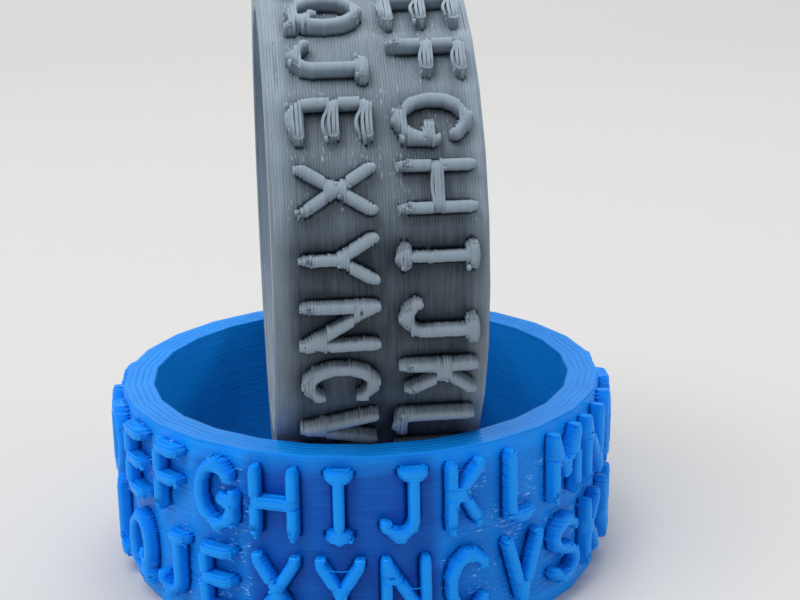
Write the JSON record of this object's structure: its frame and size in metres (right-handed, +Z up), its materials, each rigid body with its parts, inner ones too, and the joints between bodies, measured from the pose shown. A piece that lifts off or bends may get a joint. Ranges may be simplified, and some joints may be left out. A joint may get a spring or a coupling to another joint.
{
  "type": "decoder ring",
  "caption": "Pair of faceted cipher rings with raised letters in two rows; one lies flat and the other stands on edge in its bore and lifts out.",
  "frame": {"origin": "middle of the lying blue ring's base, on the surface that it rests on", "axes": "+Z up, along the blue ring's bore; +X along the standing grey ring's bore, towards the top of its letters; -Y towards the viewer"},
  "size_m": [0.0392, 0.0392, 0.0462],
  "materials": {
    "blue_plastic": "bright blue printed plastic, satin, with fine layer lines",
    "grey_plastic": "grey printed plastic, satin, with fine layer lines"
  },
  "bodies": {
    "blue_ring": {"blue_ring": "blue_plastic"},
    "grey_ring": {"grey_ring": "grey_plastic"}
  },
  "joints": [
    {"name": "grey_ring_lift", "type": "slide", "parent": "blue_ring", "child": "grey_ring", "axis": [0, 0, 1], "range_m": [0, 0.03]}
  ]
}
